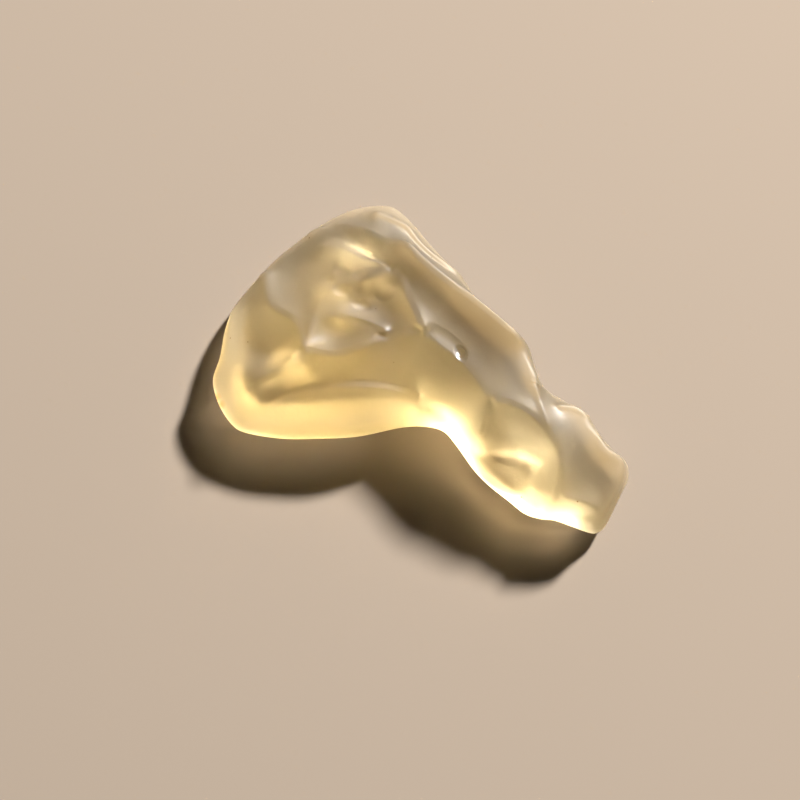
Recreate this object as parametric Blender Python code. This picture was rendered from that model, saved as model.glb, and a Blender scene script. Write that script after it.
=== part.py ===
"""Libyan desert glass: one wind-worn piece of natural glass, about 41 mm long.

The stone lies on its worn flat with its long axis along X, the broad end at -X and
the narrow end at +X.  Its upper side is a net of sharp crests with a scooped hollow
hung in every mesh of the net.  Its underside is one flat worn patch that rises to the
rim all round, with a few smooth hollows in it.  All lists below are in millimetres.
"""

import math

import bmesh
import bpy
import numpy as np
from mathutils import Vector
from mathutils.geometry import delaunay_2d_cdt

MM = 0.001
NODE_NAME = "glass_stone"
COLLECTION_NAME = "libyan_desert_glass"

# The rim: plan position and height of the stone's widest line, clockwise from the left end.
RIM = [
    (-20.7, -3.2, 1.3), (-20.4, -0.4, 1.0), (-19.8, 2.7, 0.9), (-18.7, 5.8, 1.0), (-17.5, 8.5, 0.9),
    (-15.6, 11.3, 0.9), (-13.0, 13.2, 0.9), (-11.2, 13.2, 0.9), (-9.6, 12.7, 0.9), (-8.0, 12.1, 0.9),
    (-5.6, 11.3, 0.9), (-3.5, 10.8, 0.9), (-1.9, 9.9, 0.9), (1.2, 8.9, 0.9), (3.0, 8.5, 0.9),
    (4.9, 7.9, 0.9), (6.3, 7.3, 0.9), (7.5, 6.1, 0.9), (9.1, 5.1, 0.9), (11.1, 4.9, 0.9),
    (13.3, 5.0, 0.9), (14.5, 4.6, 0.9), (15.5, 3.8, 0.9), (17.7, 3.1, 0.9), (19.3, 2.7, 0.9),
    (20.3, 1.5, 0.9), (20.5, -0.4, 1.0), (20.7, -3.6, 1.1), (20.4, -4.6, 1.1), (19.6, -5.1, 1.1),
    (16.5, -5.6, 0.8), (15.0, -6.2, 0.8), (13.5, -6.5, 0.8), (11.5, -6.2, 0.8), (9.0, -5.8, 0.8),
    (7.0, -5.2, 0.9), (4.6, -4.1, 1.2), (2.9, -3.6, 1.7), (1.3, -4.1, 2.1), (-0.6, -5.4, 2.7),
    (-3.8, -8.3, 2.9), (-6.9, -10.3, 2.8), (-9.9, -12.0, 2.6), (-13.2, -13.2, 2.3), (-14.9, -13.2, 2.3),
    (-17.0, -12.1, 2.4), (-18.6, -10.4, 2.5), (-19.2, -8.1, 2.4), (-20.2, -5.5, 2.0),
]

# Crests of the upper side, each a name, how firmly it holds the surface up, and its points.
UPPER_CRESTS = [
    ("main crest over the broad end", 1.0, [
        (-15.6, -9.8, 3.5), (-14.5, -8.8, 4.8), (-13.4, -7.5, 5.5), (-12.6, -5.9, 6.0),
        (-11.9, -4.1, 6.2), (-10.2, -3.5, 6.4), (-8.8, -2.7, 6.5), (-7.7, -1.5, 6.8), (-6.7, -0.2, 6.8),
        (-5.7, 1.0, 6.5), (-4.3, 2.1, 6.9), (-3.0, 2.9, 6.9), (-1.0, 2.6, 7.0), (1.7, 2.3, 7.0),
        (3.5, 1.6, 7.0), (5.2, 0.7, 7.0)]),
    ("brow of the front slope", 0.8, [
        (-12.9, -11.2, 3.3), (-12.1, -9.5, 3.8), (-11.3, -8.2, 4.2), (-10.0, -6.8, 4.7),
        (-8.0, -5.4, 4.9), (-6.2, -4.3, 5.0), (-4.3, -3.3, 4.8), (-2.5, -2.6, 4.5), (-0.8, -2.2, 3.9)]),
    ("round crest over the thumbprint", 0.8, [
        (5.2, 0.7, 7.0), (6.1, 0.6, 7.1), (7.5, 1.0, 7.2), (9.0, 1.1, 7.2), (10.4, 0.9, 7.1),
        (11.9, 0.4, 6.8), (13.3, -0.3, 6.2), (14.4, -1.4, 5.7), (15.0, -2.9, 5.0), (15.1, -4.5, 4.0),
        (14.5, -5.8, 2.7)]),
    ("left side of the thumbprint", 0.5, [
        (5.6, 0.5, 6.8), (6.0, -0.4, 6.5), (6.1, -1.4, 6.1), (6.4, -2.6, 5.3)]),
    ("wall along the front of the narrow end", 0.5, [
        (6.6, -4.4, 3.4), (8.9, -5.0, 3.3), (11.4, -5.5, 3.1), (13.4, -5.8, 3.0), (15.0, -5.5, 3.0),
        (16.6, -4.9, 3.1), (18.4, -4.7, 3.2), (19.3, -4.4, 3.2)]),
    ("crest from the summit to the upper left", 1.0, [
        (-3.0, 2.9, 7.4), (-4.6, 4.1, 7.2), (-6.2, 5.3, 7.1), (-7.0, 6.3, 6.9), (-7.6, 6.6, 6.8),
        (-8.8, 6.7, 6.8), (-10.1, 6.6, 6.3), (-11.8, 6.0, 5.9), (-13.8, 6.1, 5.3), (-15.5, 5.8, 4.6)]),
    ("scallop crest above it", 0.8, [
        (-17.8, 7.0, 3.2), (-16.8, 7.3, 3.7), (-15.4, 7.5, 4.3), (-13.9, 7.6, 4.8), (-11.8, 7.2, 5.3),
        (-10.8, 7.1, 5.5), (-9.8, 7.0, 5.9), (-8.8, 6.7, 6.3)]),
    ("ridge between the cups", 0.6, [
        (-12.4, -3.5, 6.2), (-12.6, -1.7, 6.0), (-12.8, 0.4, 5.9), (-12.8, 2.0, 6.0), (-12.0, 2.9, 6.1),
        (-11.1, 4.0, 6.3), (-10.0, 5.1, 6.6), (-9.0, 6.4, 6.7)]),
    ("ridge over the lower cup", 0.5, [
        (-12.5, -0.8, 5.9), (-11.6, 0.2, 6.0), (-10.5, 0.5, 6.1), (-9.1, 0.8, 6.3), (-7.7, 1.1, 6.5),
        (-6.1, 1.0, 6.9)]),
    ("back ridge", 1.0, [
        (-15.4, 8.4, 4.3), (-12.8, 8.9, 5.6), (-10.1, 9.0, 6.4), (-8.6, 9.2, 7.7), (-6.7, 8.7, 7.8),
        (-4.7, 8.3, 7.8), (-2.7, 8.0, 7.8), (-0.7, 7.8, 7.8), (2.9, 7.2, 7.8), (4.8, 6.9, 7.6),
        (6.1, 6.6, 6.5), (7.0, 5.7, 6.6), (7.8, 4.7, 6.8), (8.5, 3.7, 7.0), (9.4, 2.5, 6.9),
        (10.3, 1.7, 7.1), (11.4, 0.7, 7.1)]),
    ("ledge along the back", 0.6, [
        (-12.9, 11.1, 4.7), (-10.0, 11.3, 5.0), (-8.6, 10.7, 5.1), (-6.8, 10.2, 5.0), (-4.9, 10.0, 4.9),
        (-3.2, 9.9, 4.7), (-2.2, 9.5, 4.5)]),
    ("crest over the left facet", 1.0, [
        (-19.8, 1.0, 3.0), (-19.0, 0.4, 3.5), (-18.3, -0.5, 4.0), (-17.4, -1.4, 4.5),
        (-16.3, -1.8, 5.0), (-14.9, -1.8, 5.4), (-13.9, -2.1, 5.7), (-13.0, -2.7, 5.9),
        (-12.5, -3.4, 6.2), (-11.9, -4.1, 6.4)]),
    ("back edge of the narrow end", 0.8, [
        (11.6, 3.1, 6.0), (12.8, 3.7, 5.8), (14.2, 3.7, 5.6), (15.3, 3.2, 5.6), (16.3, 2.3, 5.7),
        (17.3, 1.7, 5.7), (18.2, 1.8, 5.4), (19.1, 1.6, 5.0), (19.7, 0.7, 4.7), (19.9, -0.4, 4.4),
        (19.9, -1.9, 4.1), (19.7, -3.1, 3.8)]),
    ("fold at the tip", 0.4, [
        (16.2, -3.7, 4.7), (18.1, -3.1, 4.5), (19.1, -3.0, 4.2), (19.7, -3.1, 3.8)]),
]

# Hollows of the upper side, where the surface hangs deeper between its crests:
# centre, half length, half width, turn in degrees, extra sag per millimetre.
HOLLOWS = {
    "upper cup": (-13.9, 4.6, 3.0, 2.4, 30, 0.15),
    "middle cup": (-8.5, 3.4, 3.4, 2.6, 40, 0.7),
    "lower cup": (-10.5, -1.4, 3.4, 1.7, 30, 0.85),
    "left cup": (-15.3, 0.2, 2.4, 2.0, 30, 0.15),
    "wedge beside the main crest": (-14.3, -5.2, 3.0, 1.5, 65, 0.8),
    "left facet": (-18.2, -4.4, 4.5, 2.4, 120, 0.2),
    "upper facet": (-11.3, 8.4, 4.0, 1.6, 0, 0.5),
    "plateau": (-1.5, 5.5, 4.8, 2.0, -8, 0.25),
    "waist swell": (1.6, -0.9, 4.5, 2.6, 20, -0.3),
    "thumbprint": (10.6, -1.4, 3.6, 3.0, 10, 0.35),
}

# Pits sunk into the upper side: centre, half length, half width, turn in degrees, depth.
PITS_ABOVE = {
    "long shallow scoop": (-0.7, 3.3, 2.6, 0.75, -8, 0.12),
    "teardrop pit": (1.0, 2.8, 0.9, 0.6, -35, 0.2),
    "dimple a": (-12.9, 4.5, 0.9, 0.7, 20, 0.22),
    "dimple b": (-11.2, 4.7, 0.7, 0.5, 50, 0.2),
    "dimple c": (-13.6, 2.9, 0.7, 0.6, 0, 0.2),
    "dimple d": (-11.9, 2.7, 0.9, 0.6, 35, 0.24),
    "dimple e": (-10.3, 3.9, 0.8, 0.5, 60, 0.18),
    "dimple f": (-9.6, 2.4, 1.0, 0.6, 10, 0.22),
    "dimple g": (-8.2, 4.5, 1.0, 0.7, 40, 0.2),
    "narrow streak": (-9.0, 0.6, 1.5, 0.4, 15, 0.1),
    "floor of the thumbprint": (9.2, -1.9, 2.6, 2.0, 10, 0.25),
}

# Hollows sunk into the underside, in the same numbers.
PITS_BELOW = {
    "hollow under the wedge": (-13.1, -6.4, 2.8, 1.7, 58, 1.0),
    "pit under the cups": (-12.6, 2.1, 1.3, 1.0, 30, 0.4),
    "hollow under the upper facet": (-12.4, 6.9, 2.2, 1.1, 20, 0.8),
    "hollow under the thumbprint": (10.0, -2.9, 3.0, 2.3, 10, 0.5),
    "left pit under the thumbprint": (8.7, -2.5, 1.0, 0.8, 20, 0.5),
    "right pit under the thumbprint": (11.6, -1.6, 0.9, 0.7, 60, 0.45),
}

# Crests of the underside, between the flat face and the rim.
LOWER_CRESTS = [
    ("arch under the waist", 0.5, [
        (-1.0, -2.4, 0.4), (1.0, -1.7, 0.4), (3.0, -1.5, 0.4), (4.6, -2.0, 0.2)]),
]

# The flat face that the stone rests on: its corners on the lowest plane.
REST_FACE = [
    (-16.8, -6.9), (-16.2, -8.1), (-15.2, -8.9), (-13.7, -9.2), (-11.8, -8.4), (-10.2, -7.4),
    (-8.7, -6.5), (-7.3, -5.5), (-6.0, -4.4), (-4.8, -3.2), (-3.2, -2.0), (-1.2, -1.1), (1.0, -0.4),
    (3.2, -0.4), (5.4, -1.0), (7.4, -1.9), (9.0, -2.6), (11.0, -3.1), (14.0, -3.5), (16.6, -3.3),
    (18.2, -2.5), (18.6, -1.1), (17.4, 1.3), (14.0, 2.7), (10.0, 3.3), (7.0, 4.5), (4.4, 5.9),
    (0.6, 7.2), (-3.0, 8.7), (-7.0, 10.1), (-11.0, 10.9), (-14.0, 9.3), (-16.0, 5.9), (-17.3, 2.1),
    (-17.7, -1.5), (-17.4, -4.5),
]

SHOULDER_TOP = 0.7  # the upper side starts this far above the rim, and is rounded down to it
SHOULDER_BASE = 0.1  # the underside starts this far below the rim, and is rounded up to it
ROUND_TOP = 1.1  # width of the rounded edge above the rim
ROUND_BASE = 0.4  # width of the rounded edge below the rim
SAG_TOP = 0.08  # how strongly each hollow is scooped, as its curvature per millimetre
SAG_BASE = 0.0  # the underside runs straight from its flat face to the rim
LIFT = 0.02  # outside its flat face the underside stays at least this high

RASTER = 0.1  # spacing of the points on which the surface is worked out
MARGIN = 1.0  # the raster reaches this far past the rim
SWEEPS = 1500
OVERSHOOT = 1.95  # over-relaxation: each sweep moves a point this much of the way
CALM_SWEEPS = 80  # the last sweeps move it the whole way and no further
HOLD = 1e6  # how firmly the rim and the flat face hold the film, against 4 for its neighbours
GRIP = 16.0  # how firmly a crest of full strength holds it
GRIP_WIDTH = 0.2  # a crest holds the surface within about this distance

LINE_STEP = 0.6  # spacing of the mesh points along crests and rim
TOP_STEP = 0.68  # spacing of the mesh points inside the upper hollows
BASE_STEP = 0.95  # and over the underside
EDGE_RINGS = (0.08, 0.33, 0.75, 1.0)  # shares of the rounded edge that carry a ring of points
PIT_RINGS = (1.0, 0.6)  # shares of a pit's size that carry a ring of points
PIT_CORNERS = 18
CLEAR_OF_LOOP = 0.3  # crest points nearer to a closed loop than this are left out
CLEAR_OF_LINE = 0.55  # loose points nearer to a line than this share of their spacing are left out
CLEAR_OF_EDGE = 0.3  # and those nearer to the rounded edge than this share
WELD = 0.01  # points nearer than this are one
CDT_INSIDE = 1  # the Delaunay output that keeps the triangles inside the outline
CDT_TOLERANCE = 1e-4
SMOOTH_BELOW = math.radians(28)  # edges flatter than this are shaded smooth
CURVE_PARTS = 24  # every span of a curve is worked out in this many parts

GLASS_COLOUR = (0.83, 0.74, 0.42, 1.0)
GLASS_ROUGHNESS = 0.35
GLASS_IOR = 1.46


def clear_scene():
    for obj in list(bpy.data.objects):
        bpy.data.objects.remove(obj, do_unlink=True)


def smooth_line(points, step, closed=False):
    """Catmull-Rom curve through the points, read at about equal steps."""
    pts = np.array(points, dtype=float)
    if closed:
        before, after, further = np.roll(pts, 1, 0), np.roll(pts, -1, 0), np.roll(pts, -2, 0)
        start = pts
    else:
        padded = np.vstack([2 * pts[0] - pts[1], pts, 2 * pts[-1] - pts[-2]])
        before, start, after, further = padded[:-3], padded[1:-2], padded[2:-1], padded[3:]
    t = np.linspace(0, 1, CURVE_PARTS, endpoint=False)[None, :, None]
    p0, p1, p2, p3 = (p[:, None, :] for p in (before, start, after, further))
    fine = 0.5 * (2 * p1 + (p2 - p0) * t + (2 * p0 - 5 * p1 + 4 * p2 - p3) * t**2
                  + (3 * p1 - p0 - 3 * p2 + p3) * t**3)
    fine = fine.reshape(-1, pts.shape[1])
    fine = np.vstack([fine, fine[:1] if closed else pts[-1:]])
    run = np.concatenate([[0], np.cumsum(np.hypot(*np.diff(fine[:, :2], axis=0).T))])
    count = max(2, round(run[-1] / step)) + 1
    at = np.linspace(0, run[-1], count)
    line = np.stack([np.interp(at, run, fine[:, k]) for k in range(pts.shape[1])], axis=1)
    return line[:-1] if closed else line


def nearest_on(line, x, y, closed=False):
    """Distance from every (x, y) to the line, and the line's height at the nearest point."""
    ends = np.roll(line, -1, 0) if closed else line[1:]
    starts = line if closed else line[:-1]
    best = np.full(x.shape, 1e9)
    height = np.zeros(x.shape)
    for a, b in zip(starts, ends):
        dx, dy, dz = b - a
        along = np.clip(((x - a[0]) * dx + (y - a[1]) * dy) / (dx * dx + dy * dy), 0, 1)
        gap = np.hypot(x - a[0] - along * dx, y - a[1] - along * dy)
        closer = gap < best
        best = np.where(closer, gap, best)
        height = np.where(closer, a[2] + along * dz, height)
    return best, height


def is_inside(line, x, y):
    """True where (x, y) is inside the closed line: a ray to +X crosses it an odd number of times."""
    crossings = np.zeros(x.shape, dtype=int)
    for a, b in zip(line, np.roll(line, -1, 0)):
        spans = (a[1] > y) != (b[1] > y)
        reach = a[0] + (y - a[1]) * (b[0] - a[0]) / (b[1] - a[1] + 1e-12)
        crossings += spans & (x < reach)
    return crossings % 2 == 1


def oval(centre, half, turn, corners):
    """Corners of an ellipse, counter-clockwise, at height zero."""
    angles = np.arange(corners) * 2 * math.pi / corners
    along, across = half[0] * np.cos(angles), half[1] * np.sin(angles)
    x = centre[0] + along * math.cos(turn) - across * math.sin(turn)
    y = centre[1] + along * math.sin(turn) + across * math.cos(turn)
    return np.stack([x, y, np.zeros_like(x)], axis=1)


def bowls(table, x, y):
    """Sum of bowls: each is its last number at its centre, and falls to nothing at its edge."""
    total = np.zeros(x.shape)
    for at_x, at_y, half_length, half_width, degrees, amount in table.values():
        turn = math.radians(degrees)
        along = ((x - at_x) * math.cos(turn) + (y - at_y) * math.sin(turn)) / half_length
        across = ((y - at_y) * math.cos(turn) - (x - at_x) * math.sin(turn)) / half_width
        total += amount * np.clip(1 - along**2 - across**2, 0, 1)
    return total


def pit_loops(pits):
    """Closed loops of plan points around each pit."""
    return [oval((x, y), (share * length, share * width), math.radians(degrees), PIT_CORNERS)
            for x, y, length, width, degrees, _depth in pits.values() for share in PIT_RINGS]


def cubic_shares(t):
    """Catmull-Rom weights of the four points around a place t of the way between the middle two."""
    return (0.5 * (-t + 2 * t**2 - t**3), 0.5 * (2 - 5 * t**2 + 3 * t**3),
            0.5 * (t + 4 * t**2 - 3 * t**3), 0.5 * (-(t**2) + t**3))


class Sheet:
    """A height over the plan: a film that hangs between crests, and is held at the rim.

    At each raster point the film's height is the mean of its four neighbours less the sag,
    pulled towards the height of the nearest crest by a grip that fades with distance.
    """

    def __init__(self, rim, crests, sag, hollows, shoulder, flat=None):
        low = rim[:, :2].min(axis=0) - MARGIN
        high = rim[:, :2].max(axis=0) + MARGIN
        self.low = low
        self.shape = tuple(np.ceil((high - low) / RASTER).astype(int) + 1)
        x, y = np.meshgrid(*(low[k] + RASTER * np.arange(self.shape[k]) for k in range(2)), indexing="ij")
        rim_height = nearest_on(rim, x, y, closed=True)[1]
        hold = np.where(is_inside(rim, x, y), 0.0, HOLD)
        pull = hold * (rim_height + shoulder)
        for _name, grip, points in crests:
            away, height = nearest_on(smooth_line(points, LINE_STEP), x, y)
            weight = GRIP * grip * np.exp(-((away / GRIP_WIDTH) ** 2))
            hold += weight
            pull += weight * height
        if flat is not None:
            hold += HOLD * is_inside(flat, x, y)
        self.film = self.settle(rim_height + shoulder, hold, pull, sag + bowls(hollows, x, y))

    def settle(self, film, hold, pull, sag):
        film = film.copy()
        rows, columns = np.indices(self.shape)
        colour = ((rows + columns) % 2 == 0)[1:-1, 1:-1]
        inner = film[1:-1, 1:-1]
        for sweep in range(SWEEPS):
            mean = film[:-2, 1:-1] + film[2:, 1:-1] + film[1:-1, :-2] + film[1:-1, 2:]
            goal = (mean - sag[1:-1, 1:-1] * RASTER**2 + pull[1:-1, 1:-1]) / (4 + hold[1:-1, 1:-1])
            step = OVERSHOOT if sweep < SWEEPS - CALM_SWEEPS else 1.0
            inner += np.where(colour == (sweep % 2 == 0), step * (goal - inner), 0)
        return film

    def read(self, x, y):
        """The film's height at any (x, y), by a cubic through the four raster points each way."""
        u = np.clip((x - self.low[0]) / RASTER, 1, self.shape[0] - 3)
        v = np.clip((y - self.low[1]) / RASTER, 1, self.shape[1] - 3)
        i, j = u.astype(int), v.astype(int)
        total = np.zeros(x.shape)
        for a, share_a in enumerate(cubic_shares(u - i)):
            for b, share_b in enumerate(cubic_shares(v - j)):
                total += share_a * share_b * self.film[i + a - 1, j + b - 1]
        return total


def rounded(film, rim_height, gap, width):
    """The film bent to the rim along a quarter of an ellipse."""
    share = np.clip(gap / width, 0, 1)
    return rim_height + (film - rim_height) * np.sqrt(np.clip(1 - (1 - share) ** 2, 0, 1))


def inset(rim, distance):
    """The rim moved inwards by a distance, along its own normal in plan."""
    along = np.roll(rim, -1, 0)[:, :2] - np.roll(rim, 1, 0)[:, :2]
    along /= np.linalg.norm(along, axis=1)[:, None]
    moved = rim.copy()
    moved[:, 0] += along[:, 1] * distance
    moved[:, 1] -= along[:, 0] * distance
    return moved


def scattered(rim, lines, step, margin):
    """Points of a triangular lattice inside the rim, clear of the rim and of the lines."""
    low, high = rim[:, :2].min(axis=0), rim[:, :2].max(axis=0)
    rows = np.arange(low[1], high[1], step * math.sqrt(3) / 2)
    x = np.arange(low[0], high[0], step)[None, :] + (np.arange(len(rows)) % 2)[:, None] * step / 2
    y = np.repeat(rows[:, None], x.shape[1], axis=1)
    x, y = x.ravel(), y.ravel()
    keep = is_inside(rim, x, y) & (nearest_on(rim, x, y, closed=True)[0] > margin)
    for line, closed in lines:
        keep &= nearest_on(line, x, y, closed)[0] > CLEAR_OF_LINE * step
    return np.stack([x[keep], y[keep]], axis=1)


def triangulated(rim, loops, lines, loose):
    """Delaunay triangles inside the rim, with the closed loops and open lines among their edges."""
    points, edges = [], []
    for line, closed in [(loop, True) for loop in [rim, *loops]] + [(line, False) for line in lines]:
        first = len(points)
        count = len(line)
        points.extend(Vector(p[:2]) for p in line)
        edges.extend((first + k, first + (k + 1) % count) for k in range(count if closed else count - 1))
    points.extend(Vector(p) for p in loose)
    face = list(range(len(rim)))
    found = delaunay_2d_cdt(points, edges, [face], CDT_INSIDE, CDT_TOLERANCE)
    return np.array([tuple(p) for p in found[0]]), found[2]


def skin(rim, crests, sheet, width, step, pits, patch=None):
    """One side of the stone: its points with the film's heights, and its triangles.

    A flat patch needs points only where a pit is sunk into it.
    """
    rings = [inset(rim, share * width) for share in EDGE_RINGS]
    loops = pit_loops(pits)
    if patch is not None:
        loops.append(patch)
    lines = []
    for _name, _grip, points in crests:
        line = smooth_line(points, LINE_STEP)
        clear = is_inside(rings[-1], line[:, 0], line[:, 1])
        for loop in [rings[-1], *loops]:
            clear &= nearest_on(loop, line[:, 0], line[:, 1], closed=True)[0] > CLEAR_OF_LOOP
        lines.append(line[clear])
    near = [(line, False) for line in lines] + [(loop, True) for loop in loops]
    loose = scattered(rim, near, step, width + CLEAR_OF_EDGE * step)
    if patch is not None:
        x, y = loose.T
        loose = loose[~is_inside(patch, x, y) | (bowls(pits, x, y) > 0)]
    plan, faces = triangulated(rim, rings + loops, lines, loose)
    x, y = plan.T
    gap, rim_height = nearest_on(rim, x, y, closed=True)
    return x, y, rounded(sheet.read(x, y), rim_height, gap, width), faces


def build_stone(collection):
    rim = smooth_line(RIM, LINE_STEP, closed=True)
    patch = smooth_line([(x, y, 0.0) for x, y in REST_FACE], LINE_STEP, closed=True)
    top_sheet = Sheet(rim, UPPER_CRESTS, SAG_TOP, HOLLOWS, SHOULDER_TOP)
    x, y, height, top_faces = skin(rim, UPPER_CRESTS, top_sheet, ROUND_TOP, TOP_STEP, PITS_ABOVE)
    top = np.column_stack([x, y, height - bowls(PITS_ABOVE, x, y)])

    base_sheet = Sheet(rim, LOWER_CRESTS, SAG_BASE, {}, -SHOULDER_BASE, flat=patch)
    x, y, height, base_faces = skin(
        rim, LOWER_CRESTS, base_sheet, ROUND_BASE, BASE_STEP, PITS_BELOW, patch=patch)
    on_edge = nearest_on(patch, x, y, closed=True)[0] < WELD
    height = np.where(is_inside(patch, x, y) | on_edge, 0.0, np.maximum(height, LIFT))
    base = np.column_stack([x, y, height + bowls(PITS_BELOW, x, y)])

    vertices = np.vstack([top, base]) * MM
    faces = list(top_faces)
    faces += [[len(top) + k for k in reversed(face)] for face in base_faces]
    mesh = bpy.data.meshes.new(NODE_NAME)
    mesh.from_pydata(vertices.tolist(), [], faces)

    bm = bmesh.new()
    bm.from_mesh(mesh)
    bmesh.ops.remove_doubles(bm, verts=bm.verts, dist=WELD * MM)
    bmesh.ops.recalc_face_normals(bm, faces=bm.faces)
    bm.to_mesh(mesh)
    bm.free()
    mesh.shade_smooth()
    mesh.set_sharp_from_angle(angle=SMOOTH_BELOW)
    stone = bpy.data.objects.new(NODE_NAME, mesh)
    collection.objects.link(stone)
    return stone


def glass_material():
    material = bpy.data.materials.new("frosted_yellow_glass")
    material.use_nodes = True
    shader = material.node_tree.nodes["Principled BSDF"]
    shader.inputs["Base Color"].default_value = GLASS_COLOUR
    shader.inputs["Roughness"].default_value = GLASS_ROUGHNESS
    shader.inputs["Metallic"].default_value = 0.0
    shader.inputs["IOR"].default_value = GLASS_IOR
    shader.inputs["Transmission Weight"].default_value = 1.0
    material.diffuse_color = GLASS_COLOUR
    return material


def main():
    clear_scene()
    collection = bpy.data.collections.new(COLLECTION_NAME)
    bpy.context.scene.collection.children.link(collection)
    stone = build_stone(collection)
    stone.data.materials.append(glass_material())


main()
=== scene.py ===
import math
import bpy
import numpy as np
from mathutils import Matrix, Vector


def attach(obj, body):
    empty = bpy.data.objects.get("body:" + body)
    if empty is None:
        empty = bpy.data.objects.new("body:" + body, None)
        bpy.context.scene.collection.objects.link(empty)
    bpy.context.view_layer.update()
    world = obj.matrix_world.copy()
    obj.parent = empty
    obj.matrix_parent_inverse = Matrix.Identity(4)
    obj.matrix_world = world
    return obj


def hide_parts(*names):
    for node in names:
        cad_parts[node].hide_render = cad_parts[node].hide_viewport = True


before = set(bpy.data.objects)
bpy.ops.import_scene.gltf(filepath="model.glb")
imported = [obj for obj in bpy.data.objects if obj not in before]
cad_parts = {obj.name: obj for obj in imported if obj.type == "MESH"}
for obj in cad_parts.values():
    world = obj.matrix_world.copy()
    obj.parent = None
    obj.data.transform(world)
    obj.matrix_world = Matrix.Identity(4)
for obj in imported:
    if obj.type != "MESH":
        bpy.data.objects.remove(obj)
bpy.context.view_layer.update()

scene = bpy.context.scene
mm = 0.001

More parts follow.
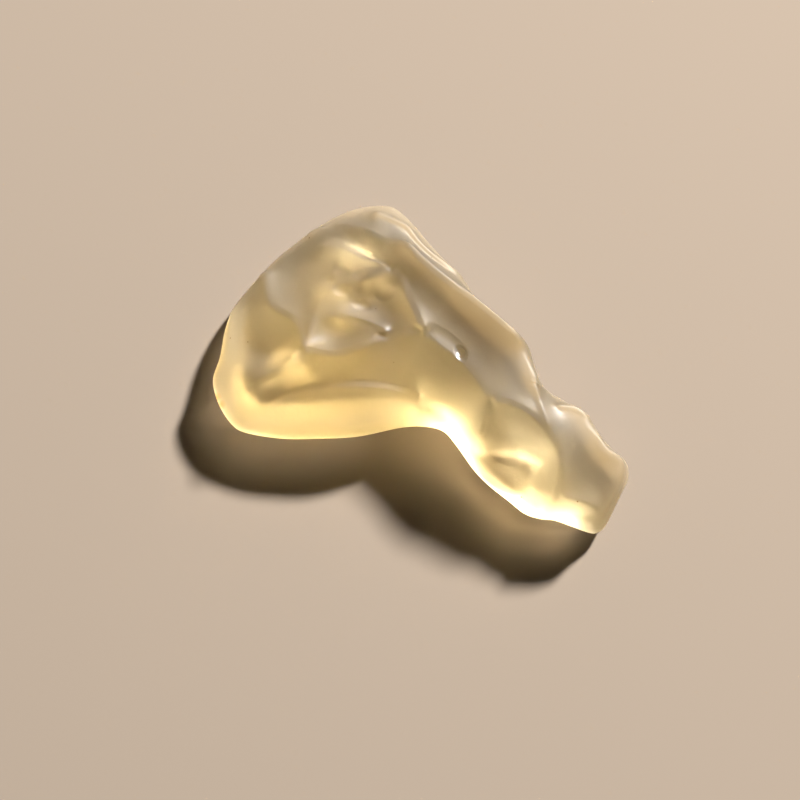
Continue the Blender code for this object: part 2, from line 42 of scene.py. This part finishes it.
# the piece of glass: lengths in mm, x y along the plan, the third number is the height
glass = {
    "node": "glass_stone",
    "rim": [  # the widest line, clockwise from the left end
        (-20.7, -3.2, 1.3), (-20.4, -0.4, 1.0), (-19.8, 2.7, 0.9), (-18.7, 5.8, 1.0), (-17.5, 8.5, 0.9),
        (-15.6, 11.3, 0.9), (-13.0, 13.2, 0.9), (-11.2, 13.2, 0.9), (-9.6, 12.7, 0.9),
        (-8.0, 12.1, 0.9), (-5.6, 11.3, 0.9), (-3.5, 10.8, 0.9), (-1.9, 9.9, 0.9), (1.2, 8.9, 0.9),
        (3.0, 8.5, 0.9), (4.9, 7.9, 0.9), (6.3, 7.3, 0.9), (7.5, 6.1, 0.9), (9.1, 5.1, 0.9),
        (11.1, 4.9, 0.9), (13.3, 5.0, 0.9), (14.5, 4.6, 0.9), (15.5, 3.8, 0.9), (17.7, 3.1, 0.9),
        (19.3, 2.7, 0.9), (20.3, 1.5, 0.9), (20.5, -0.4, 1.0), (20.7, -3.6, 1.1), (20.4, -4.6, 1.1),
        (19.6, -5.1, 1.1), (16.5, -5.6, 0.8), (15.0, -6.2, 0.8), (13.5, -6.5, 0.8), (11.5, -6.2, 0.8),
        (9.0, -5.8, 0.8), (7.0, -5.2, 0.9), (4.6, -4.1, 1.2), (2.9, -3.6, 1.7), (1.3, -4.1, 2.1),
        (-0.6, -5.4, 2.7), (-3.8, -8.3, 2.9), (-6.9, -10.3, 2.8), (-9.9, -12.0, 2.6),
        (-13.2, -13.2, 2.3), (-14.9, -13.2, 2.3), (-17.0, -12.1, 2.4), (-18.6, -10.4, 2.5),
        (-19.2, -8.1, 2.4), (-20.2, -5.5, 2.0)],
    "upperCrests": {  # how firmly each holds the surface up, then its points
        "mainCrest": (1.0, [
            (-15.6, -9.8, 3.5), (-14.5, -8.8, 4.8), (-13.4, -7.5, 5.5), (-12.6, -5.9, 6.0),
            (-11.9, -4.1, 6.2), (-10.2, -3.5, 6.4), (-8.8, -2.7, 6.5), (-7.7, -1.5, 6.8),
            (-6.7, -0.2, 6.8), (-5.7, 1.0, 6.5), (-4.3, 2.1, 6.9), (-3.0, 2.9, 6.9), (-1.0, 2.6, 7.0),
            (1.7, 2.3, 7.0), (3.5, 1.6, 7.0), (5.2, 0.7, 7.0)]),
        "frontBrow": (0.8, [
            (-12.9, -11.2, 3.3), (-12.1, -9.5, 3.8), (-11.3, -8.2, 4.2), (-10.0, -6.8, 4.7),
            (-8.0, -5.4, 4.9), (-6.2, -4.3, 5.0), (-4.3, -3.3, 4.8), (-2.5, -2.6, 4.5),
            (-0.8, -2.2, 3.9)]),
        "thumbprintCrest": (0.8, [
            (5.2, 0.7, 7.0), (6.1, 0.6, 7.1), (7.5, 1.0, 7.2), (9.0, 1.1, 7.2), (10.4, 0.9, 7.1),
            (11.9, 0.4, 6.8), (13.3, -0.3, 6.2), (14.4, -1.4, 5.7), (15.0, -2.9, 5.0), (15.1, -4.5, 4.0),
            (14.5, -5.8, 2.7)]),
        "thumbprintSide": (0.5, [
            (5.6, 0.5, 6.8), (6.0, -0.4, 6.5), (6.1, -1.4, 6.1), (6.4, -2.6, 5.3)]),
        "frontWall": (0.5, [
            (6.6, -4.4, 3.4), (8.9, -5.0, 3.3), (11.4, -5.5, 3.1), (13.4, -5.8, 3.0), (15.0, -5.5, 3.0),
            (16.6, -4.9, 3.1), (18.4, -4.7, 3.2), (19.3, -4.4, 3.2)]),
        "upperLeftCrest": (1.0, [
            (-3.0, 2.9, 7.4), (-4.6, 4.1, 7.2), (-6.2, 5.3, 7.1), (-7.0, 6.3, 6.9), (-7.6, 6.6, 6.8),
            (-8.8, 6.7, 6.8), (-10.1, 6.6, 6.3), (-11.8, 6.0, 5.9), (-13.8, 6.1, 5.3), (-15.5, 5.8, 4.6)]),
        "scallopCrest": (0.8, [
            (-17.8, 7.0, 3.2), (-16.8, 7.3, 3.7), (-15.4, 7.5, 4.3), (-13.9, 7.6, 4.8), (-11.8, 7.2, 5.3),
            (-10.8, 7.1, 5.5), (-9.8, 7.0, 5.9), (-8.8, 6.7, 6.3)]),
        "cupRidge": (0.6, [
            (-12.4, -3.5, 6.2), (-12.6, -1.7, 6.0), (-12.8, 0.4, 5.9), (-12.8, 2.0, 6.0),
            (-12.0, 2.9, 6.1), (-11.1, 4.0, 6.3), (-10.0, 5.1, 6.6), (-9.0, 6.4, 6.7)]),
        "streakRidge": (0.5, [
            (-12.5, -0.8, 5.9), (-11.6, 0.2, 6.0), (-10.5, 0.5, 6.1), (-9.1, 0.8, 6.3),
            (-7.7, 1.1, 6.5), (-6.1, 1.0, 6.9)]),
        "backRidge": (1.0, [
            (-15.4, 8.4, 4.3), (-12.8, 8.9, 5.6), (-10.1, 9.0, 6.4), (-8.6, 9.2, 7.7), (-6.7, 8.7, 7.8),
            (-4.7, 8.3, 7.8), (-2.7, 8.0, 7.8), (-0.7, 7.8, 7.8), (2.9, 7.2, 7.8), (4.8, 6.9, 7.6),
            (6.1, 6.6, 6.5), (7.0, 5.7, 6.6), (7.8, 4.7, 6.8), (8.5, 3.7, 7.0), (9.4, 2.5, 6.9),
            (10.3, 1.7, 7.1), (11.4, 0.7, 7.1)]),
        "backLedge": (0.6, [
            (-12.9, 11.1, 4.7), (-10.0, 11.3, 5.0), (-8.6, 10.7, 5.1), (-6.8, 10.2, 5.0),
            (-4.9, 10.0, 4.9), (-3.2, 9.9, 4.7), (-2.2, 9.5, 4.5)]),
        "leftHollowCrest": (1.0, [
            (-19.8, 1.0, 3.0), (-19.0, 0.4, 3.5), (-18.3, -0.5, 4.0), (-17.4, -1.4, 4.5),
            (-16.3, -1.8, 5.0), (-14.9, -1.8, 5.4), (-13.9, -2.1, 5.7), (-13.0, -2.7, 5.9),
            (-12.5, -3.4, 6.2), (-11.9, -4.1, 6.4)]),
        "narrowEndBack": (0.8, [
            (11.6, 3.1, 6.0), (12.8, 3.7, 5.8), (14.2, 3.7, 5.6), (15.3, 3.2, 5.6), (16.3, 2.3, 5.7),
            (17.3, 1.7, 5.7), (18.2, 1.8, 5.4), (19.1, 1.6, 5.0), (19.7, 0.7, 4.7), (19.9, -0.4, 4.4),
            (19.9, -1.9, 4.1), (19.7, -3.1, 3.8)]),
        "tipFold": (0.4, [
            (16.2, -3.7, 4.7), (18.1, -3.1, 4.5), (19.1, -3.0, 4.2), (19.7, -3.1, 3.8)])},
    "lowerCrests": {
        "archUnderWaist": (0.5, [
            (-1.0, -2.4, 0.4), (1.0, -1.7, 0.4), (3.0, -1.5, 0.4), (4.6, -2.0, 0.2)])},
    "hollows": {  # centre x y, half length, half width, turn in degrees, extra sag per mm
        "upperCup": (-13.9, 4.6, 3.0, 2.4, 30, 0.15),
        "middleCup": (-8.5, 3.4, 3.4, 2.6, 40, 0.7),
        "lowerCup": (-10.5, -1.4, 3.4, 1.7, 30, 0.85),
        "leftCup": (-15.3, 0.2, 2.4, 2.0, 30, 0.15),
        "wedge": (-14.3, -5.2, 3.0, 1.5, 65, 0.80),
        "leftFacet": (-18.2, -4.4, 4.5, 2.4, 120, 0.20),
        "upperFacet": (-11.3, 8.4, 4.0, 1.6, 0, 0.50),
        "plateau": (-1.5, 5.5, 4.8, 2.0, -8, 0.25),
        "waistSwell": (1.6, -0.9, 4.5, 2.6, 20, -0.30),
        "thumbprint": (10.6, -1.4, 3.6, 3.0, 10, 0.35)},
    "pits": {  # centre x y, half length, half width, turn in degrees, depth
        "longScoop": (-0.7, 3.3, 2.6, 0.75, -8, 0.12),
        "teardrop": (1.0, 2.8, 0.9, 0.6, -35, 0.2),
        "dimpleA": (-12.9, 4.5, 0.9, 0.7, 20, 0.22),
        "dimpleB": (-11.2, 4.7, 0.7, 0.5, 50, 0.2),
        "dimpleC": (-13.6, 2.9, 0.7, 0.6, 0, 0.2),
        "dimpleD": (-11.9, 2.7, 0.9, 0.6, 35, 0.24),
        "dimpleE": (-10.3, 3.9, 0.8, 0.5, 60, 0.18),
        "dimpleF": (-9.6, 2.4, 1.0, 0.6, 10, 0.22),
        "dimpleG": (-8.2, 4.5, 1.0, 0.7, 40, 0.2),
        "streak": (-9.0, 0.6, 1.5, 0.4, 15, 0.1),
        "thumbprintFloor": (9.2, -1.9, 2.6, 2.0, 10, 0.25)},
    "pitsBelow": {  # the same, sunk into the underside
        "wedgeHollow": (-13.1, -6.4, 2.8, 1.7, 58, 1.0),
        "cupPit": (-12.6, 2.1, 1.3, 1.0, 30, 0.4),
        "facetHollow": (-12.4, 6.9, 2.2, 1.1, 20, 0.8),
        "printHollow": (10.0, -2.9, 3.0, 2.3, 10, 0.5),
        "printPitLeft": (8.7, -2.5, 1.0, 0.8, 20, 0.50),
        "printPitRight": (11.6, -1.6, 0.9, 0.7, 60, 0.45)},
    "restFace": [  # the flat face that it stands on
        (-16.8, -6.9), (-16.2, -8.1), (-15.2, -8.9), (-13.7, -9.2), (-11.8, -8.4), (-10.2, -7.4),
        (-8.7, -6.5), (-7.3, -5.5), (-6.0, -4.4), (-4.8, -3.2), (-3.2, -2.0), (-1.2, -1.1), (1.0, -0.4),
        (3.2, -0.4), (5.4, -1.0), (7.4, -1.9), (9.0, -2.6), (11.0, -3.1), (14.0, -3.5), (16.6, -3.3),
        (18.2, -2.5), (18.6, -1.1), (17.4, 1.3), (14.0, 2.7), (10.0, 3.3), (7.0, 4.5), (4.4, 5.9),
        (0.6, 7.2), (-3.0, 8.7), (-7.0, 10.1), (-11.0, 10.9), (-14.0, 9.3), (-16.0, 5.9), (-17.3, 2.1),
        (-17.7, -1.5), (-17.4, -4.5)],
    "shoulderTop": 0.7, "shoulderBase": 0.1, "roundTop": 1.1, "roundBase": 0.4,  # the rounded edge
    "sagTop": 0.08, "sagBase": 0.0,  # curvature of the hollows, per mm
    "lift": 0.02,  # outside its flat face the underside stays at least this high
    "raster": 0.1, "margin": 1.0,  # spacing of the film's points, and how far they pass the rim
    "hold": 1e6, "grip": 16.0,  # pull of rim and flat face, and of a full crest
    "gripWidth": 0.2, "crestStep": 0.5,  # how far a crest pulls, and how finely it is followed
    "sweeps": 1500, "overshoot": 1.95,  # each sweep moves a point this much of the way
    "calmSweeps": 80,  # and the last ones the whole way, no further
    "rimSkip": 3,  # the film needs only every third point of the rim
    "centre": (0.5, 1.1),  # every point of the rim is in sight from here
    "columns": 560, "rowsTop": 92, "rowsTopEdge": 10, "rowsBase": 62, "rowsBaseEdge": 8,
    "patchPoints": 190,
    "widestEdge": 0.35,  # the rounded edge takes no more of a ray than this
    "edgeBlend": 12,  # columns on either side over which its width is evened out
}
curveParts = 24  # every span of a curve is worked out in this many parts
tiny = 1e-12  # keeps a level line from dividing by nothing


def smoothLine(points, reading, closed=False):
    # Catmull-Rom curve through the points: a closed one is read at that many even places,
    # an open one about every so many mm
    pts = np.array(points, dtype=float)
    if closed:
        p0, p1, p2, p3 = np.roll(pts, 1, 0), pts, np.roll(pts, -1, 0), np.roll(pts, -2, 0)
    else:
        padded = np.vstack([2 * pts[0] - pts[1], pts, 2 * pts[-1] - pts[-2]])
        p0, p1, p2, p3 = padded[:-3], padded[1:-2], padded[2:-1], padded[3:]
    p0, p1, p2, p3 = (p[:, None, :] for p in (p0, p1, p2, p3))
    t = np.linspace(0, 1, curveParts, endpoint=False)[None, :, None]
    fine = 0.5 * (2 * p1 + (p2 - p0) * t + (2 * p0 - 5 * p1 + 4 * p2 - p3) * t**2
                  + (3 * p1 - p0 - 3 * p2 + p3) * t**3)
    fine = fine.reshape(-1, pts.shape[1])
    fine = np.vstack([fine, fine[:1] if closed else pts[-1:]])
    run = np.concatenate([[0], np.cumsum(np.hypot(*np.diff(fine[:, :2], axis=0).T))])
    spans = reading if closed else max(2, round(run[-1] / reading))
    at = np.linspace(0, run[-1], spans + 1)
    line = np.stack([np.interp(at, run, fine[:, k]) for k in range(pts.shape[1])], axis=1)
    return line[:-1] if closed else line


def nearestOn(line, x, y, closed=False):
    # distance to the line, and the line's height at the nearest point
    ends = np.roll(line, -1, 0) if closed else line[1:]
    starts = line if closed else line[:-1]
    best = np.full(x.shape, np.inf)
    height = np.zeros(x.shape)
    for a, b in zip(starts, ends):
        d = b - a
        along = np.clip(((x - a[0]) * d[0] + (y - a[1]) * d[1]) / (d[0] ** 2 + d[1] ** 2), 0, 1)
        gap = (x - a[0] - along * d[0]) ** 2 + (y - a[1] - along * d[1]) ** 2
        closer = gap < best
        best = np.where(closer, gap, best)
        height = np.where(closer, a[2] + along * d[2], height)
    return np.sqrt(best), height


def isInside(line, x, y):
    # a ray to +x crosses the closed line an odd number of times
    crossings = np.zeros(x.shape, dtype=int)
    for a, b in zip(line, np.roll(line, -1, 0)):
        spans = (a[1] > y) != (b[1] > y)
        reach = a[0] + (y - a[1]) * (b[0] - a[0]) / (b[1] - a[1] + tiny)
        crossings += spans & (x < reach)
    return crossings % 2 == 1


def ovals(bowls, x, y):
    # each bowl is its last number times one less the squared distance, in half lengths and widths
    total = np.zeros(x.shape)
    for atX, atY, halfLength, halfWidth, degrees, amount in bowls.values():
        turn = math.radians(degrees)
        along = ((x - atX) * math.cos(turn) + (y - atY) * math.sin(turn)) / halfLength
        across = ((y - atY) * math.cos(turn) - (x - atX) * math.sin(turn)) / halfWidth
        total += amount * np.clip(1 - along**2 - across**2, 0, 1)
    return total


def hangSheet(spec, rim, crests, sag, hollows, shoulder, flat=None):
    # a film over the plan: each raster point is the mean of its four neighbours less the sag,
    # pulled to the nearest crest's height by a grip that fades with distance from the crest
    low = rim[:, :2].min(axis=0) - spec["margin"]
    high = rim[:, :2].max(axis=0) + spec["margin"]
    shape = tuple(np.ceil((high - low) / spec["raster"]).astype(int) + 1)
    lines = [low[k] + spec["raster"] * np.arange(shape[k]) for k in range(2)]
    x, y = np.meshgrid(*lines, indexing="ij")
    coarseRim = rim[::spec["rimSkip"]]
    rimHeight = nearestOn(coarseRim, x, y, closed=True)[1]
    hold = np.where(isInside(coarseRim, x, y), 0.0, spec["hold"])
    load = np.full(shape, sag) + ovals(hollows, x, y)
    film = rimHeight + shoulder
    pull = hold * film
    for grip, points in crests.values():
        away, height = nearestOn(smoothLine(points, spec["crestStep"]), x, y)
        weight = spec["grip"] * grip * np.exp(-((away / spec["gripWidth"]) ** 2))
        hold = hold + weight
        pull = pull + weight * height
    if flat is not None:
        hold = hold + spec["hold"] * isInside(flat, x, y)
    rows, cols = np.indices(shape)
    even = ((rows + cols) % 2 == 0)[1:-1, 1:-1]
    inner = film[1:-1, 1:-1]
    give = 4 + hold[1:-1, 1:-1]  # the four neighbours pull with 1 each
    drop = load[1:-1, 1:-1] * spec["raster"] ** 2
    for sweep in range(spec["sweeps"]):
        around = film[:-2, 1:-1] + film[2:, 1:-1] + film[1:-1, :-2] + film[1:-1, 2:]
        goal = (around - drop + pull[1:-1, 1:-1]) / give
        step = spec["overshoot"] if sweep < spec["sweeps"] - spec["calmSweeps"] else 1.0
        inner += np.where(even == (sweep % 2 == 0), step * (goal - inner), 0)
    return low, film


def readSheet(spec, sheet, x, y):
    # the film between its raster points, by a cubic through the four nearest each way
    low, film = sheet
    u = np.clip((x - low[0]) / spec["raster"], 1, film.shape[0] - 3)
    v = np.clip((y - low[1]) / spec["raster"], 1, film.shape[1] - 3)
    i, j = u.astype(int), v.astype(int)

    def weights(t):
        # Catmull-Rom shares of the four points around a place between the middle two
        return (0.5 * (-t + 2 * t**2 - t**3), 0.5 * (2 - 5 * t**2 + 3 * t**3),
                0.5 * (t + 4 * t**2 - 3 * t**3), 0.5 * (-(t**2) + t**3))

    total = np.zeros(x.shape)
    for a, wa in enumerate(weights(u - i)):
        for b, wb in enumerate(weights(v - j)):
            total += wa * wb * film[i + a - 1, j + b - 1]
    return total


def ringShares(spec, rim, centre, width, rows, edgeRows):
    # share of the way from centre to rim for every row and column: even rows at first,
    # then rows that crowd towards the rim as the quarter ellipse of the edge does
    tangent = np.roll(rim, -1, 0)[:, :2] - np.roll(rim, 1, 0)[:, :2]
    tangent /= np.linalg.norm(tangent, axis=1)[:, None]
    ray = rim[:, :2] - centre
    reach = np.linalg.norm(ray, axis=1)
    ray /= reach[:, None]
    square = np.abs(ray[:, 0] * tangent[:, 1] - ray[:, 1] * tangent[:, 0])
    edge = np.minimum(width / square, spec["widestEdge"] * reach) / reach
    blend = spec["edgeBlend"]
    kernel = np.hanning(2 * blend + 1)
    kernel /= kernel.sum()
    edge = np.convolve(np.concatenate([edge[-blend:], edge, edge[:blend]]), kernel, "valid")
    inner = np.arange(1, rows + 1)[:, None] / rows * (1 - edge)[None, :]
    bend = np.arange(1, edgeRows + 1)[:, None] / edgeRows * math.pi / 2
    outer = 1 - edge[None, :] * (1 - np.sin(bend))
    return np.vstack([inner, outer])


def roundedHeight(film, rimHeight, gap, width):
    # bends the film to the rim along a quarter of an ellipse, over the width of the edge
    share = np.clip(gap / width, 0, 1)
    return rimHeight + (film - rimHeight) * np.sqrt(1 - (1 - share) ** 2)


def glassSkin(spec):
    # rings of points round the stone, one column for each point of the rim: the film's height at
    # every place, bent to the rim, less the pits above and more by the hollows below
    rim = smoothLine(spec["rim"], spec["columns"], closed=True)
    centre = np.array(spec["centre"])
    patch = smoothLine(spec["restFace"], spec["patchPoints"], closed=True)
    top = hangSheet(spec, rim, spec["upperCrests"], spec["sagTop"], spec["hollows"],
                    spec["shoulderTop"])
    print("upper side hung")
    base = hangSheet(spec, rim, spec["lowerCrests"], spec["sagBase"], {},
                     -spec["shoulderBase"], flat=patch)
    print("underside hung")

    def side(sheet, width, rows, edgeRows):
        shares = ringShares(spec, rim, centre, width, rows, edgeRows)
        x = centre[0] + shares * (rim[:, 0] - centre[0])[None, :]
        y = centre[1] + shares * (rim[:, 1] - centre[1])[None, :]
        gap, rimHeight = nearestOn(rim, x, y, closed=True)
        z = roundedHeight(readSheet(spec, sheet, x, y), rimHeight, gap, width)
        return x, y, z

    xt, yt, zt = side(top, spec["roundTop"], spec["rowsTop"], spec["rowsTopEdge"])
    zt = zt - ovals(spec["pits"], xt, yt)
    xb, yb, zb = side(base, spec["roundBase"], spec["rowsBase"], spec["rowsBaseEdge"])
    flat = isInside(patch, xb, yb)
    zb = np.where(flat, 0.0, np.maximum(zb, spec["lift"])) + ovals(spec["pitsBelow"], xb, yb)
    poleX, poleY = centre[:1], centre[1:]
    poleTop = float((readSheet(spec, top, poleX, poleY) - ovals(spec["pits"], poleX, poleY))[0])
    poleBase = float(readSheet(spec, base, poleX, poleY)[0])

    # rings from the top pole out to the rim and in again to the bottom pole, the rim's ring once
    rings = np.concatenate([
        np.stack([xt, yt, zt], axis=2), np.stack([xb, yb, zb], axis=2)[:-1][::-1]])
    count, columns = rings.shape[:2]
    points = np.vstack([rings.reshape(-1, 3), [[*centre, poleTop], [*centre, max(poleBase, 0.0)]]])
    index = np.arange(count * columns).reshape(count, columns)
    follow = np.roll(index, -1, axis=1)
    # every face is listed so that it points outwards
    quads = np.stack([index[:-1], follow[:-1], follow[1:], index[1:]], axis=2).reshape(-1, 4)
    poles = np.full((columns, 2), [count * columns, count * columns + 1])
    capTop = np.stack([index[0], poles[:, 0], follow[0]], axis=1)
    capBase = np.stack([follow[-1], poles[:, 1], index[-1]], axis=1)
    faces = quads.tolist() + capTop.tolist() + capBase.tolist()
    mesh = bpy.data.meshes.new("desertGlass")
    mesh.from_pydata((points * mm).tolist(), [], faces)
    mesh.update()
    mesh.shade_smooth()
    return mesh


look = {
    "ior": 1.46, "clearShare": 0.978, "tint": (1.0, 0.93, 0.78),
    "absorbColour": (0.86, 0.73, 0.27), "absorbDensity": 80.0,  # yellow in depth
    "roughAbove": 0.6, "roughBelow": 0.32, "roughSpread": 0.16, "patchScale": 420.0,
    "pitAt": (1.0, 2.8, 6.6), "pitReach": (0.5, 0.9), "pitRough": 0.45,
    "grainScale": 1500.0, "grainHeight": 0.00002, "waveScale": 420.0, "waveHeight": 0.00006,
    "stains": [(-17.3, -11.6, 2.6), (-16.6, -12.0, 2.6)], "stainReach": (0.15, 0.6),
    "stainColour": (0.80, 0.42, 0.10),
    "frostFacing": (-0.5, 0.2),  # how far up a face looks where the frost begins and is full
    "patchSpan": (0.3, 0.7),  # the part of the noise that the patches use
    "fineDetail": 3, "broadDetail": 2,
    # two zones of painted shade in one, darker glass over the thick middle where shade falls: their
    # centres, where they are full and where they end, in mm
    "paintedShade": [(-6.5, 4.0, 6.4), (1.0, 3.6, 6.8)], "paintedShadeReach": (2.5, 7.5),
    "paintedShadeColour": (0.55, 0.47, 0.34),
    "speckScale": 800.0, "speckSize": 0.07, "speckColour": (0.22, 0.13, 0.06),
    "clusterScale": 260.0, "clusterFrom": 0.56,
}
mixSockets = {"share": 0, "first": 6, "second": 7, "result": 2}  # of a Mix node set to colours


def glassMaterial(spec):
    # frosted glass: absorption in depth, and tint, painted shade, stains and grains mixed in the surface
    material = bpy.data.materials.new("desertGlassFrosted")
    material.use_nodes = True
    nodes, links = material.node_tree.nodes, material.node_tree.links
    shader = nodes["Principled BSDF"]
    shader.inputs["IOR"].default_value = spec["ior"]
    shader.inputs["Transmission Weight"].default_value = spec["clearShare"]
    place = nodes.new("ShaderNodeTexCoord")

    def noise(scale, detail):
        texture = nodes.new("ShaderNodeTexNoise")
        texture.inputs["Scale"].default_value = scale
        texture.inputs["Detail"].default_value = detail
        links.new(place.outputs["Object"], texture.inputs["Vector"])
        return texture.outputs["Fac"]

    def ranged(value, low, high, start, end):
        # start at the low value, end at the high one
        span = nodes.new("ShaderNodeMapRange")
        for name, number in (("From Min", low), ("From Max", high), ("To Min", start), ("To Max", end)):
            span.inputs[name].default_value = number
        links.new(value, span.inputs["Value"])
        return span.outputs["Result"]

    def combined(operation, first, second):
        node = nodes.new("ShaderNodeMath")
        node.operation = operation
        links.new(first, node.inputs[0])
        if isinstance(second, float):
            node.inputs[1].default_value = second
        else:
            links.new(second, node.inputs[1])
        return node.outputs["Value"]

    def near(point, reach):
        # 1 within the first distance of the point, 0 past the second, both in mm
        away = nodes.new("ShaderNodeVectorMath")
        away.operation = "DISTANCE"
        away.inputs[1].default_value = Vector(point) * mm
        links.new(place.outputs["Object"], away.inputs[0])
        return ranged(away.outputs["Value"], reach[0] * mm, reach[1] * mm, 1.0, 0.0)

    def mixed(share, first, second):
        mix = nodes.new("ShaderNodeMix")
        mix.data_type = "RGBA"
        links.new(share, mix.inputs[mixSockets["share"]])
        if isinstance(first, tuple):
            mix.inputs[mixSockets["first"]].default_value = (*first, 1)
        else:
            links.new(first, mix.inputs[mixSockets["first"]])
        mix.inputs[mixSockets["second"]].default_value = (*second, 1)
        return mix.outputs[mixSockets["result"]]

    # wind frost: rough above, smoother below, patchy, and worn clear in the fresh pit
    facing = nodes.new("ShaderNodeSeparateXYZ")
    links.new(place.outputs["Normal"], facing.inputs["Vector"])
    frost = ranged(facing.outputs["Z"], *spec["frostFacing"], spec["roughBelow"], spec["roughAbove"])
    half = spec["roughSpread"] / 2
    patches = ranged(noise(spec["patchScale"], spec["fineDetail"]), *spec["patchSpan"], -half, half)
    polish = ranged(near(spec["pitAt"], spec["pitReach"]), 0.0, 1.0, 1.0, spec["pitRough"])
    links.new(combined("MULTIPLY", combined("ADD", frost, patches), polish), shader.inputs["Roughness"])

    # colour: clear tint, painted shade darkening the thick middle, two iron stains at the broad end,
    # dark grains caught in clusters
    paintedShade = [near(point, spec["paintedShadeReach"]) for point in spec["paintedShade"]]
    colour = mixed(combined("MAXIMUM", *paintedShade), spec["tint"], spec["paintedShadeColour"])
    stains = [near(point, spec["stainReach"]) for point in spec["stains"]]
    colour = mixed(combined("MAXIMUM", *stains), colour, spec["stainColour"])
    cells = nodes.new("ShaderNodeTexVoronoi")
    cells.inputs["Scale"].default_value = spec["speckScale"]
    links.new(place.outputs["Object"], cells.inputs["Vector"])
    specks = combined("LESS_THAN", cells.outputs["Distance"], spec["speckSize"])
    clusters = noise(spec["clusterScale"], spec["broadDetail"])
    clusters = combined("GREATER_THAN", clusters, spec["clusterFrom"])
    colour = mixed(combined("MULTIPLY", specks, clusters), colour, spec["speckColour"])
    links.new(colour, shader.inputs["Base Color"])

    # fine grain over low waves
    grain = noise(spec["grainScale"], spec["fineDetail"])
    grain = combined("MULTIPLY", grain, spec["grainHeight"])
    waves = noise(spec["waveScale"], spec["broadDetail"])
    waves = combined("MULTIPLY", waves, spec["waveHeight"])
    bump = nodes.new("ShaderNodeBump")
    bump.inputs["Distance"].default_value = 1.0
    links.new(combined("ADD", grain, waves), bump.inputs["Height"])
    links.new(bump.outputs["Normal"], shader.inputs["Normal"])

    absorb = nodes.new("ShaderNodeVolumeAbsorption")
    absorb.inputs["Color"].default_value = (*spec["absorbColour"], 1)
    absorb.inputs["Density"].default_value = spec["absorbDensity"]
    links.new(absorb.outputs["Volume"], nodes["Material Output"].inputs["Volume"])
    return material


stone = bpy.data.objects.new("desertGlass", glassSkin(glass))
scene.collection.objects.link(stone)
stone.data.materials.append(glassMaterial(look))
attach(stone, "root")
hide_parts(glass["node"])
print("glass made,", len(stone.data.polygons), "faces")

studio = {  # lengths in metres, keyHeight in degrees above the floor
    "floorSize": 1.2, "floorDrop": 0.0001, "floorColour": (0.2, 0.171, 0.145),
    "floorRough": 0.9, "floorSheen": 0.1, "bounces": 24,
    "keyFrom": (0.14, 0.99), "keyHeight": 26.0, "keyDistance": 1.2, "keySize": 0.12, "keyPower": 97.0,
    "keyColour": (1.0, 0.93, 0.84),
    "skyColour": (1.0, 0.88, 0.76), "skyStrength": 0.012,
}


def makeFloor(spec):
    # a plain pale square just under the stone
    half = spec["floorSize"] / 2
    mesh = bpy.data.meshes.new("studioFloor")
    corners = [(-half, -half), (half, -half), (half, half), (-half, half)]
    mesh.from_pydata([(x, y, -spec["floorDrop"]) for x, y in corners], [], [(0, 1, 2, 3)])
    floor = bpy.data.objects.new("studioFloor", mesh)
    scene.collection.objects.link(floor)
    material = bpy.data.materials.new("paleFloor")
    material.use_nodes = True
    shader = material.node_tree.nodes["Principled BSDF"]
    shader.inputs["Base Color"].default_value = (*spec["floorColour"], 1)
    shader.inputs["Roughness"].default_value = spec["floorRough"]
    shader.inputs["Specular IOR Level"].default_value = spec["floorSheen"]
    mesh.materials.append(material)


def makeLights(spec):
    # one strong low light from behind, and a faint even sky
    height = math.radians(spec["keyHeight"])
    side = Vector((*spec["keyFrom"], 0)).normalized() * math.cos(height)
    away = Vector((side.x, side.y, math.sin(height)))
    key = bpy.data.lights.new("keySoftbox", "AREA")
    key.shape = "DISK"
    key.size = spec["keySize"]
    key.energy = spec["keyPower"]
    key.color = spec["keyColour"]
    lamp = bpy.data.objects.new("keySoftbox", key)
    lamp.location = away * spec["keyDistance"]
    lamp.rotation_euler = (-away).to_track_quat("-Z", "Y").to_euler()
    scene.collection.objects.link(lamp)
    world = bpy.data.worlds.new("softSky")
    scene.world = world
    world.use_nodes = True
    sky = world.node_tree.nodes["Background"]
    sky.inputs["Color"].default_value = (*spec["skyColour"], 1)
    sky.inputs["Strength"].default_value = spec["skyStrength"]


view = {
    "azimuth": 30.0, "elevation": 78.0, "distance": 0.30,
    "aim": (-2.06 * mm, -3.34 * mm, 3.5 * mm), "widthSeen": 76.0 * mm,
    "sensorWidth": 36.0, "nearClip": 0.01,
}


def makeCamera(spec):
    # looks at the aim from a direction given in degrees, with the width that it sees there
    turn, lift = math.radians(spec["azimuth"]), math.radians(spec["elevation"])
    back = Vector((math.sin(turn) * math.cos(lift), -math.cos(turn) * math.cos(lift), math.sin(lift)))
    camera = bpy.data.cameras.new("camera")
    camera.sensor_width = spec["sensorWidth"]
    camera.lens = spec["sensorWidth"] * spec["distance"] / spec["widthSeen"]
    camera.clip_start = spec["nearClip"]
    eye = bpy.data.objects.new("camera", camera)
    eye.location = Vector(spec["aim"]) + back * spec["distance"]
    eye.rotation_euler = (-back).to_track_quat("-Z", "Y").to_euler()
    scene.collection.objects.link(eye)
    scene.camera = eye


makeFloor(studio)
makeLights(studio)
makeCamera(view)
scene.view_settings.view_transform = "Standard"
scene.cycles.sample_clamp_indirect = 0
scene.cycles.max_bounces = studio["bounces"]
scene.cycles.transmission_bounces = studio["bounces"]
print("studio made")
